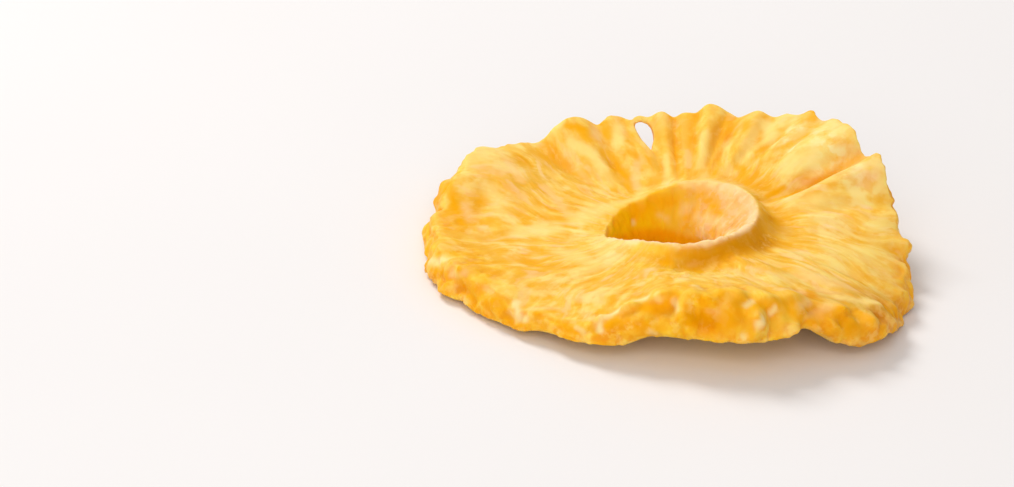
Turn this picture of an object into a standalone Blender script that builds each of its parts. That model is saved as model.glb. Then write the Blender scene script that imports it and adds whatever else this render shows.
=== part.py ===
"""A dried pineapple ring: a cored slice that shrank, pleated and curled as it dried.

The fresh slice is turned as a flat ring. Each of its points is then moved to where drying
takes it: the rim rises and falls round the slice, the cored hole stands up as a collar,
the raised back edge draws into pleats, and the front edge rolls over into a thick band.
Lengths are in metres, +Z is up, +X is the slice's right and +Y its raised back edge.
"""

import math

import bmesh
import bpy
from mathutils import Vector, noise

MM = 0.001
NAME = "pineapple_ring"

# The turned blank. Its section has five runs of spans: top, outer wall, underside, and the
# hole below and above its waist.
STEPS_AROUND = 240
TOP_SPANS = 10
WALL_SPANS = 6
UNDERSIDE_SPANS = 4
HOLE_SPANS = 2
TOP_CROWDING = 1.6  # above 1, the top's rows crowd towards the collar
BLANK_HOLE_RADIUS = 12 * MM
BLANK_RIM_RADIUS = 40 * MM
BLANK_THICKNESS = 10 * MM

# The dried slice, in mm, at even steps of angle round the hole's axis, from +X towards
# +Y. The front edge is at 270 degrees.
RIM_RADIUS = (37.4, 37, 37, 38, 38, 38, 38, 38, 38, 39, 40.6, 41.8,
              41.8, 42, 41.8, 40.8, 40.2, 39.5, 39, 39, 39, 40.5, 40, 38.8)
RIM_HEIGHT = (5.8, 9.9, 15, 16.5, 15.6, 13.6, 12.3, 11.1, 10.9, 8.9, 8.8, 6.8,
              4.9, 5.4, 6, 5.5, 5.3, 8.1, 12.4, 12.4, 11.2, 8, 5.9, 4.4)
RIM_THICKNESS = (5.7, 4.9, 3.8, 3, 2.6, 2.5, 2.5, 2.5, 2.6, 3.1, 3.8, 4.6,
                 4.9, 5.4, 5.9, 4.7, 3.2, 5.4, 7.3, 7.9, 5.5, 6, 5, 4.4)
ROLL_REACH = (1.4, 0.9, 0.8, 0.8, 0.8, 0.8, 0.8, 0.8, 0.8, 1, 1.4, 2.6,
              3.2, 3, 2.6, 2.4, 2.4, 3.6, 4.8, 4.6, 4, 3.5, 2.6, 1.8)
MIDDLE_HEIGHT = (8.2, 11.3, 11.6, 9.4, 7, 7, 4.2, 5.2, 6.6, 9.2, 9.8, 8.2)
MIDDLE_SHARE = 0.48  # where, between the lip and the rim, the middle height is reached
INNER_HEIGHT = (8, 8.8, 9, 8, 6.5, 5.8, 5, 6, 6.6, 6.6, 8, 8.2)
INNER_THICKNESS = (6.4, 7.2, 8, 8, 6.6, 5.9, 4.6, 5, 5.4, 5.2, 6, 6.2)

# The cored hole and its collar, in mm, at even steps of angle. The hole narrows from its
# lip to a waist, and opens out again under it.
LIP_RADIUS = (11.5, 11.5, 11.8, 12.1, 12.1, 12.1, 12.1, 12.1, 12.1, 12.1, 11.9, 11.6)
LIP_HEIGHT = (12, 12.4, 11.4, 9.9, 7.9, 6.1, 5.4, 7.4, 9.4, 10.4, 11.2, 11.6)
WAIST_RADIUS = (5.8, 5.8, 6.4, 8, 10, 11, 11, 10.2, 9, 8, 7, 6)
WAIST_DEPTH = 0.64  # from the lip at 0 to the underside at 1
UNDERCUT = 1 * MM
COLLAR_WIDTH = (2.6, 2.8, 3, 3, 3, 3, 3, 2.8, 2.4, 2, 1.9, 2.2)
COLLAR_POWER = 1.8  # above 1 rounds the lip over

# Pleats, as (angle, half-width in degrees, height in mm): grooves are below zero.
PLEATS = (
    (160, 4, 0.5), (150, 4, 0.4), (143, 3, -0.4), (131, 4, -1.2), (121.5, 4.2, 0.9),
    (114, 1.8, -1), (109.5, 2.4, 0.6), (104.5, 1.8, 0.3), (99.5, 1.5, -0.7),
    (96.5, 1.6, 0.6), (92.8, 1.4, -1), (84, 3, 1.5), (87.3, 0.9, -0.8), (79.5, 0.9, -0.6),
    (76.5, 1.6, -1), (71, 2.2, 0.8), (66.5, 1.2, -0.5), (58, 1.5, 0.6), (53, 1.4, -0.5),
    (48, 6, 0.6), (36, 3.2, -2.4), (28, 4, 0.9), (17, 3, -0.6), (205, 5, -0.5),
    (231, 4, -0.6), (262, 3, 0.5), (296, 4, -0.5), (322, 5, 0.7), (338, 4, -0.5),
)
PLEAT_START = 0.12
PLEAT_FULL = 0.7
# Lobes and notches of the outline, as (angle, half-width in degrees, reach in mm).
LOBES = (
    (114, 1.6, -1.4), (104.6, 1, -2), (93.5, 1.4, -0.8), (84.5, 2.6, 0.8),
    (75.5, 2, -0.9), (57.5, 1, 1.3), (40, 4, -0.6), (128, 2, -0.8), (149, 2.6, 0.7),
    (171, 3, -0.6), (345, 6, -0.5), (316, 7, 0.9), (303, 4.5, -1.5),
    (287, 7, 0.7), (264, 5, -1.1), (251, 6, 0.7), (236, 4, -0.9), (222, 4, 0.5),
    (213, 3, -0.9), (199, 4, 0.5),
)
# Pits and folds in the top, as (angle, radius, length along the radius, width across it,
# height), in mm but for the angle.
FOLDS = (
    (170, 35, 2, 9, -0.6), (164, 39, 1.8, 8, 0.4), (117, 26, 1.6, 1, -0.9),
    (208, 28, 1.2, 2.6, -0.9), (24, 15.6, 2, 4, -0.8), (275, 16.4, 2, 6, -0.6),
    (44, 29, 5, 4, 0.9), (33, 24, 8, 1.2, -0.8), (246, 30, 2.4, 5, 0.7),
    (306, 31, 2.2, 5, -0.9), (190, 24, 3, 6, 0.5), (62, 30, 6, 1.6, -0.7),
)

# The tear: a drop-shaped hole between the back pleats, open along the view from the front.
TEAR_ANGLE = 103.3
TEAR_RADIUS = 32 * MM
TEAR_HALF_WIDTH = 2.2 * MM
TEAR_HALF_LENGTH = 2.3 * MM
TEAR_DEPTH = 18 * MM
TEAR_SLOPE = 24
TEAR_SEGMENTS = 14
TEAR_LEAN = 0.45  # how far its sharp end leans sideways, as a share of the half-width

FIBRE_RELIEF = 0.35 * MM
FIBRE_CELLS = 12  # across the unit circle, so about six times as many round the ring
FIBRE_LENGTH = 2.2
FIBRE_START = 0.05
FIBRE_FULL = 0.3
BUCKLE_RELIEF = 0.5 * MM
BUCKLE_SIZE = 9 * MM
CRAG_RELIEF = 2.4 * MM
CRAG_THICKNESS = 7.4 * MM  # a rim this thick has the full relief
CRAG_THINNING = 2.2  # above 1, a thin rim is smoother than in proportion
CRAG_SIZE = 3.7 * MM
CRAG_MIDDLE = 0.54  # halfway between the tops of the lumps and the grooves round them
CRAG_SHARPNESS = 2.2
CRAG_SWELL = 0.8  # the share of lumps twice as large
CRAG_START = Vector((4.3, 1.7, 2.9))  # where in the noise the crags are read from
CRAG_LIFT = 0.7  # how much of the crags' relief is upwards as well as outwards
CRAG_SHARE = 0.86  # from here out, the top is craggy too
GRAIN_RELIEF = 0.5 * MM
GRAIN_SIZE = 2.2 * MM

FLESH_COLOUR = (0.93, 0.6, 0.17, 1)
FLESH_ROUGHNESS = 0.5


def smooth(low, high, value):
    """0 below low, 1 above high, and an easy curve between."""
    t = min(max((value - low) / (high - low), 0), 1)
    return t * t * (3 - 2 * t)


def around(stations, angle):
    """The value at an angle on a smooth closed curve through evenly spaced stations."""
    place = (angle / math.tau * len(stations)) % len(stations)
    first = int(place)
    t = place - first
    a, b, c, d = (stations[(first + k) % len(stations)] for k in (-1, 0, 1, 2))
    return b + 0.5 * t * (c - a + t * (2 * a - 5 * b + 4 * c - d + t * (3 * (b - c) + d - a)))


def swells(features, angle):
    """The sum, in metres, of the features' bumps at an angle."""
    total = 0
    for centre, half_width, height in features:
        off = (math.degrees(angle) - centre + 180) % 360 - 180
        total += height * MM * math.exp(-((off / half_width) ** 2))
    return total


def bent_height(angle, share):
    """The flesh's own curve from the hole to the rim, with its pleats."""
    inner = around(INNER_HEIGHT, angle)
    middle = around(MIDDLE_HEIGHT, angle)
    rim = around(RIM_HEIGHT, angle)
    m = MIDDLE_SHARE
    curve = (
        inner * (share - m) * (share - 1) / m
        + middle * share * (share - 1) / (m * (m - 1))
        + rim * share * (share - m) / (1 - m)
    )
    return curve * MM + swells(PLEATS, angle) * smooth(PLEAT_START, PLEAT_FULL, share)


def buckle_height(angle, radius):
    """The slow unevenness of the whole slice, top and underside alike."""
    place = Vector((radius * math.cos(angle), radius * math.sin(angle), 0))
    return BUCKLE_RELIEF * noise.noise(place / BUCKLE_SIZE)


def fold_height(angle, radius):
    """The sum of the pits and folds at a point of the top."""
    total = 0
    for centre, reach, length, width, height in FOLDS:
        turn = (angle - math.radians(centre) + math.pi) % math.tau - math.pi
        along = (radius - reach * MM) / (length * MM)
        across = radius * turn / (width * MM)
        total += height * MM * math.exp(-(along**2) - across**2)
    return total


def collar_height(angle, from_lip):
    """How far the collar stands above the flesh, at a distance from the hole's lip."""
    rise = (around(LIP_HEIGHT, angle) - around(INNER_HEIGHT, angle)) * MM
    width = around(COLLAR_WIDTH, angle) * MM
    return rise * math.exp(-((from_lip / width) ** COLLAR_POWER))


def fibre_height(angle, share):
    """Bundles of fibre that run out from the hole."""
    where = (FIBRE_CELLS * math.cos(angle), FIBRE_CELLS * math.sin(angle), FIBRE_LENGTH * share)
    return FIBRE_RELIEF * noise.noise(Vector(where)) * smooth(FIBRE_START, FIBRE_FULL, share)


def hole_radius(angle, depth):
    """The hole's radius, from its lip at depth 0 to the underside at depth 1."""
    lip = around(LIP_RADIUS, angle) * MM
    waist = around(WAIST_RADIUS, angle) * MM
    if depth < WAIST_DEPTH:
        return lip + (waist - lip) * depth / WAIST_DEPTH
    return waist + UNDERCUT * (depth - WAIST_DEPTH) / (1 - WAIST_DEPTH)


def crag(point, size):
    """Unevenness of about one unit at a point: round lumps of that size with grooves
    between, on slower swells."""
    place = point / size + CRAG_START
    lump = CRAG_SHARPNESS * (CRAG_MIDDLE - noise.voronoi(place)[0][0])
    return lump + CRAG_SWELL * noise.noise(place / 2)


def dried(angle, share, depth):
    """Where drying takes a point of the blank. share runs from the hole to the rim, and
    depth from the top face to the underside."""
    rim_radius = around(RIM_RADIUS, angle) * MM + swells(LOBES, angle)
    roll = around(ROLL_REACH, angle) * MM
    reach = depth
    fall = depth
    if share == 1:
        reach = math.sin(depth * math.pi / 2)
        fall = 1 - math.cos(depth * math.pi / 2)
    outer = rim_radius - roll * (1 - reach)
    inner = hole_radius(angle, depth)
    radius = inner + (outer - inner) * share
    sheet = bent_height(angle, share) + buckle_height(angle, radius)
    top = sheet + collar_height(angle, share * (rim_radius - roll - hole_radius(angle, 0)))
    top += fibre_height(angle, share) + fold_height(angle, radius)
    core = around(INNER_THICKNESS, angle) * MM
    edge = around(RIM_THICKNESS, angle) * MM
    bottom = sheet - core - (edge - core) * share
    outward = Vector((math.cos(angle), math.sin(angle), 0))
    point = outward * radius + Vector((0, 0, top + (bottom - top) * fall))
    if share == 0:
        point += outward * GRAIN_RELIEF * crag(point, GRAIN_SIZE)
    rough = CRAG_RELIEF * min(edge / CRAG_THICKNESS, 1) ** CRAG_THINNING
    rough *= crag(point, CRAG_SIZE) * smooth(CRAG_SHARE, 1, share)
    point += rough * (outward + Vector((0, 0, CRAG_LIFT)))
    point.z = max(point.z, 0)
    return point


def section():
    """The blank's section as (share, depth) pairs, once round from the hole's lip."""
    top = [((i / TOP_SPANS) ** TOP_CROWDING, 0) for i in range(TOP_SPANS)]
    wall = [(1, i / WALL_SPANS) for i in range(WALL_SPANS)]
    underside = [(1 - i / UNDERSIDE_SPANS, 1) for i in range(UNDERSIDE_SPANS)]
    below = [(0, 1 - (1 - WAIST_DEPTH) * i / HOLE_SPANS) for i in range(HOLE_SPANS)]
    above = [(0, WAIST_DEPTH * (1 - i / HOLE_SPANS)) for i in range(HOLE_SPANS)]
    return top + wall + underside + below + above


def turned_blank(collection):
    """The fresh slice: its closed section, carried once round +Z by a Screw modifier."""
    width = BLANK_RIM_RADIUS - BLANK_HOLE_RADIUS
    profile = bpy.data.meshes.new("blank_section")
    form = bmesh.new()
    corners = [
        form.verts.new(
            (BLANK_HOLE_RADIUS + width * share, 0, BLANK_THICKNESS * (1 - depth))
        )
        for share, depth in section()
    ]
    for start, end in zip(corners, corners[1:] + corners[:1]):
        form.edges.new((start, end))
    form.to_mesh(profile)
    form.free()
    blank = bpy.data.objects.new("blank", profile)
    collection.objects.link(blank)
    screw = blank.modifiers.new("turn", "SCREW")
    screw.steps = STEPS_AROUND
    screw.render_steps = STEPS_AROUND
    screw.use_merge_vertices = True
    screw.merge_threshold = 0.01 * MM
    graph = bpy.context.evaluated_depsgraph_get()
    turned = bpy.data.meshes.new_from_object(blank.evaluated_get(graph))
    bpy.data.objects.remove(blank)
    return turned


def dry(mesh):
    """Moves every point of the blank to its place on the dried slice."""
    width = BLANK_RIM_RADIUS - BLANK_HOLE_RADIUS
    for vertex in mesh.vertices:
        x, y, z = vertex.co
        share = round((math.hypot(x, y) - BLANK_HOLE_RADIUS) / width, 4)
        depth = round(1 - z / BLANK_THICKNESS, 4)
        vertex.co = dried(math.atan2(y, x) % math.tau, share, depth)


def tear_cutter(collection):
    """A drop-shaped bar that points down the view from the front, blunt end uppermost."""
    drop = bpy.data.meshes.new("tear_cutter")
    form = bmesh.new()
    bmesh.ops.create_cone(
        form, cap_ends=True, segments=TEAR_SEGMENTS, radius1=1, radius2=1, depth=TEAR_DEPTH
    )
    for corner in form.verts:
        x, y, z = corner.co
        lean = TEAR_LEAN * (y + 1)
        corner.co = (TEAR_HALF_WIDTH * (x * (1 - lean) + lean), TEAR_HALF_LENGTH * y, z)
    form.to_mesh(drop)
    form.free()
    cutter = bpy.data.objects.new("tear_cutter", drop)
    angle = math.radians(TEAR_ANGLE)
    lip = hole_radius(angle, 0)
    share = (TEAR_RADIUS - lip) / (around(RIM_RADIUS, angle) * MM - lip)
    cutter.location = (
        TEAR_RADIUS * math.cos(angle),
        TEAR_RADIUS * math.sin(angle),
        bent_height(angle, share),
    )
    cutter.rotation_euler.x = -math.radians(90 + TEAR_SLOPE)
    cutter.hide_render = True
    cutter.display_type = "WIRE"
    collection.objects.link(cutter)
    return cutter


def flesh_material():
    """Amber flesh, a little glossy."""
    material = bpy.data.materials.new("dried_flesh")
    material.use_nodes = True
    shader = material.node_tree.nodes["Principled BSDF"]
    shader.inputs["Base Color"].default_value = FLESH_COLOUR
    shader.inputs["Roughness"].default_value = FLESH_ROUGHNESS
    shader.inputs["Metallic"].default_value = 0
    return material


def new_collection(name):
    collection = bpy.data.collections.new(name)
    bpy.context.scene.collection.children.link(collection)
    return collection


def centre(*things):
    """Moves everything together, so that the first thing's box is centred on the origin."""
    corners = [vertex.co for vertex in things[0].data.vertices]
    middle = Vector(
        (
            (min(c.x for c in corners) + max(c.x for c in corners)) / 2,
            (min(c.y for c in corners) + max(c.y for c in corners)) / 2,
            0,
        )
    )
    for thing in things:
        thing.location -= middle


def build():
    """Builds the ring in a collection of its own, with the tear's cutter in another."""
    for thing in list(bpy.data.objects):
        bpy.data.objects.remove(thing)
    parts = new_collection("dried_pineapple_ring")
    cutters = new_collection("cutters")
    mesh = turned_blank(parts)
    mesh.name = NAME
    dry(mesh)
    mesh.materials.append(flesh_material())
    mesh.shade_smooth()
    ring = bpy.data.objects.new(NAME, mesh)
    parts.objects.link(ring)
    cutter = tear_cutter(cutters)
    tear = ring.modifiers.new("tear", "BOOLEAN")
    tear.operation = "DIFFERENCE"
    tear.object = cutter
    centre(ring, cutter)


build()
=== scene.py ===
import math

import bmesh
import bpy
import numpy as np
from mathutils import Matrix, Vector, noise


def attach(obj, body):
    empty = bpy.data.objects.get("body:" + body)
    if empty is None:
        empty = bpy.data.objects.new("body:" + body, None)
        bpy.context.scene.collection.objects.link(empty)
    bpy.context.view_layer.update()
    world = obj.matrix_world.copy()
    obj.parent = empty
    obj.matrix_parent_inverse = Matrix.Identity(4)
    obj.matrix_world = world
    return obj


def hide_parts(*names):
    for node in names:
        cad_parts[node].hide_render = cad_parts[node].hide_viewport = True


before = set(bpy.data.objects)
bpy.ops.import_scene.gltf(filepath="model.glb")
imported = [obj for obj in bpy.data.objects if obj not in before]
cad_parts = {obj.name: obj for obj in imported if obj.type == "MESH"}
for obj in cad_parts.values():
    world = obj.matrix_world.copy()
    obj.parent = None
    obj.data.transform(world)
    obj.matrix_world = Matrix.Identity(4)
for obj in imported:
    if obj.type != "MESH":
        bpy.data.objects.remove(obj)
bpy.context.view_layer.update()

MM = 0.001
NODE = "pineapple_ring"
HOLE_AXIS = Vector((1.922 * MM, 1.019 * MM, 0))

# The photograph's view.
PHOTO_WIDTH = 1014
PHOTO_HEIGHT = 487
PIXELS_PER_METRE = 6190
LENS = 200
SENSOR = 36
ELEVATION = math.radians(24)
ROLL = math.radians(5)
HOLE_PIXEL = (681.5, 233)
HOLE_HEIGHT = 6.5 * MM

# How the solid's surface is rounded over: angles in degrees.
MERGE_DISTANCE = 0.01 * MM
PAIRING_FACE_ANGLE = 50
PAIRING_SHAPE_ANGLE = 70
ROUNDING_LEVELS = 2

# The hole's lip at even steps of angle from +X towards +Y: its radius in mm, how pale and
# dry it is, from 0 to 1, and how far in mm that reaches into the hole and out of it.
LIP_RADIUS = (11.5, 11.5, 11.8, 12.1, 12.1, 12.1, 12.1, 12.1, 12.1, 12.1, 11.9, 11.6)
LIP_PALENESS = (0.6, 0.45, 0.35, 0.1, 0, 0, 0.2, 0.7, 0.9, 0.95, 1, 0.85)
LIP_INSIDE = (1.3, 1.2, 0.9, 0.6, 0.4, 0.4, 0.4, 0.5, 0.6, 0.7, 0.9, 1.2)
LIP_OUTSIDE = (0.5, 0.5, 0.4, 0.3, 0.3, 0.3, 0.4, 0.5, 0.6, 0.8, 0.9, 0.7)
CRUMB_SIZE = 0.8 * MM
CRUMB_RELIEF = 0.22 * MM
SLOT_TOP = 3.6 * MM  # below this, the hole's wall is painted in deep shade, and swells inwards
SLOT_SHADE_FOOT = 2.2 * MM
SLOT_SWELL = 0.9 * MM
HOLE_SIDE_FROM = 13 * MM  # the hole's wall ends between these two radii
HOLE_SIDE_BY = 14.5 * MM

# The fibres run out from the hole, and sway as they go.
SLOW_SWAY = 0.15
SLOW_SWAY_SIZE = 15 * MM
QUICK_SWAY = 0.05
QUICK_SWAY_SIZE = 6 * MM
FIBRES_NEAR = 15  # cells across the unit circle, near the hole
FIBRES_FAR = 22  # and at the rim, where the fibres have split
SPLIT_FROM = 17 * MM  # the radii between which they split
SPLIT_BY = 27 * MM
FIBRE_START = 5 * MM  # how far from the lip they reach their full relief
FIBRE_RUN = 4.5 * MM
FIBRE_RELIEF = 0.06 * MM
BUNDLE_CELLS = 9
BUNDLE_RUN = 8 * MM
BUNDLE_RELIEF = 0.18 * MM
UNEVEN_SIZE = 7 * MM  # of the areas where the fibres stand out more or less
WRINKLE_SIZE = 3.2 * MM
WRINKLE_RELIEF = 0.16 * MM

# How far a point is sunk below the form round it, or stands out of it. The form round it is
# the surface blurred so many times, and the depth is the whole range from proud to sunk.
# The flesh is painted with shade where it is sunk, and with light where it stands out.
HOLLOW_ROUNDS = 30
HOLLOW_DEPTH = 0.5 * MM
VALLEY_ROUNDS = 110  # on top of the hollows'
VALLEY_DEPTH = 1.4 * MM
VALLEY_FROM = 15 * MM  # the valleys' painted shade and light fade in between these two radii
VALLEY_BY = 20 * MM

# The band is the outer edge. It is lumpy, and pitted towards the front.
BAND_REACH = 5 * MM
CELL_SIZE = 3.3 * MM
CELL_RELIEF = 0.3 * MM
CELL_EDGE = 0.45  # how wide the edges between the cells are, as a share of their size
CELL_MIDDLE = 0.7  # where a cell's relief changes sign
CELL_WARP = 0.5
PIT_AREA = 8 * MM
PIT_BIAS = 0.4
PIT_ANGLE = 295
PIT_SOFTNESS = 0.15
PIT_AMBER = 0.75
LUMP_SIZE = 2.1 * MM
LUMP_RELIEF = 0.26 * MM
GRAIN_SIZE = 1.2 * MM
GRAIN_RELIEF = 0.32 * MM  # of the grain on the hole's wall
CHIP_RELIEF = 0.16 * MM  # and of the same grain on the band

# Where the top is worn as rough as the band, as (angle, radius, length along the radius,
# width across it), in mm but for the angle.
WORN = (
    (208, 37.5, 5, 12),
    (184, 38.5, 3.5, 7),
    (351, 37, 3.5, 8),
    (281, 32.5, 3, 13),
)
WORN_STRENGTH = 0.75

# Patches of the band and of the hole's wall, as (angle, height, half-width, half-height,
# relief, in mm but for the angle, and how amber the patch is: below zero it is pale).
PATCHES = (
    (262, 9, 2.2, 0.9, -0.2, 1),
    (271.5, 11.2, 0.8, 1.8, -0.2, 0.8),
    (283, 10.2, 1.7, 2.2, -0.2, 0.8),
    (275, 8, 1.3, 1.3, -0.2, 1),
    (292, 11.2, 3, 1.2, -0.2, 0.9),
    (315, 8.3, 3.6, 1.1, -0.3, 0.9),
    (296, 7.5, 1.5, 1.6, 0.3, -0.5),
    (290, 7.8, 1, 0.7, 0.3, -1),
    (292.4, 9.9, 0.9, 0.6, 0.3, -0.9),
    (229, 4, 1.2, 1.2, 0.2, -0.7),
    (222, 3.2, 0.8, 0.8, -0.2, 0.9),
    (238, 5.4, 1.2, 0.4, -0.2, 0.8),
    (243.4, 3.9, 1.4, 0.6, -0.2, 0.7),
    (252.8, 6.3, 0.8, 0.8, -0.2, 1),
    (133, 4, 0.5, 0.5, 0.1, -0.7),
)
# Pale torn edges that stand up, each from one (angle, radius, height) to another, in mm but
# for the angle.
TORN_EDGES = (
    ((261.5, 35.8, 10.6), (251, 38.4, 7)),
    ((251, 38.4, 7), (250.6, 38.6, 4.6)),
)
TORN_WIDTH = 0.4 * MM
TORN_RELIEF = 0.5 * MM
# Orange veins in the top, each from one (angle, radius) to another, and how strong.
VEINS = (
    ((56, 27.5), (52.4, 32.7), 0.9),
    ((52.4, 32.7), (56.6, 38), 0.9),
    ((46.6, 27.2), (43.6, 28.9), 0.7),
    ((32, 22.8), (35, 30), 0.4),
    ((35, 30), (37, 36), 0.5),
    ((45, 36.8), (44.4, 38), 0.8),
    ((67, 26.5), (66.5, 33), 0.5),
    ((115.2, 27.6), (115.8, 32), 0.8),
    ((123, 30), (125.5, 34), 0.8),
    ((168.3, 37.9), (178, 36.2), 0.6),
    ((178, 36.2), (189, 37.2), 0.5),
    ((205, 36.4), (207.5, 39.5), 0.6),
    ((104, 22), (103.6, 27), 0.4),
    ((88, 26), (87.4, 36), 0.5),
)
VEIN_WIDTH = 0.9 * MM
VEIN_RAGGEDNESS = 0.9

# The pale, blotched flap at the right back, and other large areas of colour on the top, as
# (angle, radius, length along the radius, width across it, in mm but for the angle), and
# what the areas' colours are multiplied by. Some of the areas are painted shade, as marked.
FLAP = (48, 32, 6, 8)
TINTS_AND_PAINTED_SHADE = (
    (152, 30, 6, 9, (0.88, 0.92, 1.15)),
    # painted shade on the band at the right front, here and in the next line
    (307, 36, 4, 6, (0.93, 0.88, 0.7)),
    (326, 37, 5, 11, (0.74, 0.58, 0.2)),
    (277, 36, 5, 16, (0.97, 0.92, 0.4)),
    (20, 26, 9, 9, (1.02, 1.07, 1.4)),
    (84, 28, 9, 10, (1, 0.87, 0.5)),
    # painted shade in the recess between the back lobes
    (119, 33, 2.4, 3.4, (0.98, 0.82, 0.2)),
    (200, 26, 8, 9, (1.02, 1.03, 1.3)),
    (185, 38, 4, 9, (1, 0.97, 0.8)),
    (224, 16.5, 3, 4, (1.02, 1.05, 1.6)),
    (256, 15, 2, 7, (0.98, 0.96, 0.6)),
    (268, 18, 3.5, 7, (0.91, 0.93, 0.55)),
    # painted shade round the collar, below the lip, in these four
    (283, 14.3, 1.7, 4.5, (0.84, 0.72, 0.15)),
    (308, 13.9, 1.9, 5, (0.7, 0.53, 0.02)),
    (333, 14.7, 1.8, 4.5, (0.78, 0.63, 0.06)),
    (6, 14.2, 1.5, 3, (0.86, 0.74, 0.2)),
    (250, 27, 8, 10, (1, 0.99, 1.1)),
    (320, 27, 8, 9, (1, 1.02, 1.15)),
)

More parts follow.
